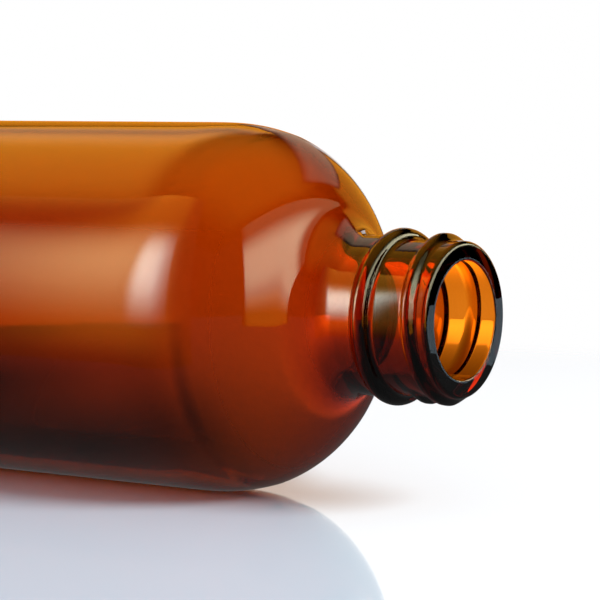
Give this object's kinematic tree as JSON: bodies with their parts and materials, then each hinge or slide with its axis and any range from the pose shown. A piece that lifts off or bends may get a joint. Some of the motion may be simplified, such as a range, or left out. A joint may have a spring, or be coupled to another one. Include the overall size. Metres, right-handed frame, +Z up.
{
  "type": "glass bottle with screw cap",
  "caption": "Round-shouldered amber glass bottle with a screw-thread neck, lying on its side, with its ribbed screw cap and liner taken off.",
  "frame": {"origin": "on the table, under the middle of the bounding box of the bottle and its cap", "axes": "+X along the lying bottle's axis, out of its mouth; +Z up from the table"},
  "size_m": [0.1832, 0.062, 0.062],
  "materials": {
    "amber_glass": "fire-polished amber glass",
    "cap_plastic": "moulded black plastic, semi-gloss",
    "liner_foam": "white foamed plastic sheet"
  },
  "bodies": {
    "bottle": {"glass_bottle": "amber_glass"},
    "cap": {"screw_cap": "cap_plastic", "cap_liner": "liner_foam"}
  },
  "joints": [
    {"name": "cap_lift", "type": "slide", "parent": "bottle", "child": "cap", "axis": [0, 0, 1], "range_m": [0, 0.08]}
  ]
}
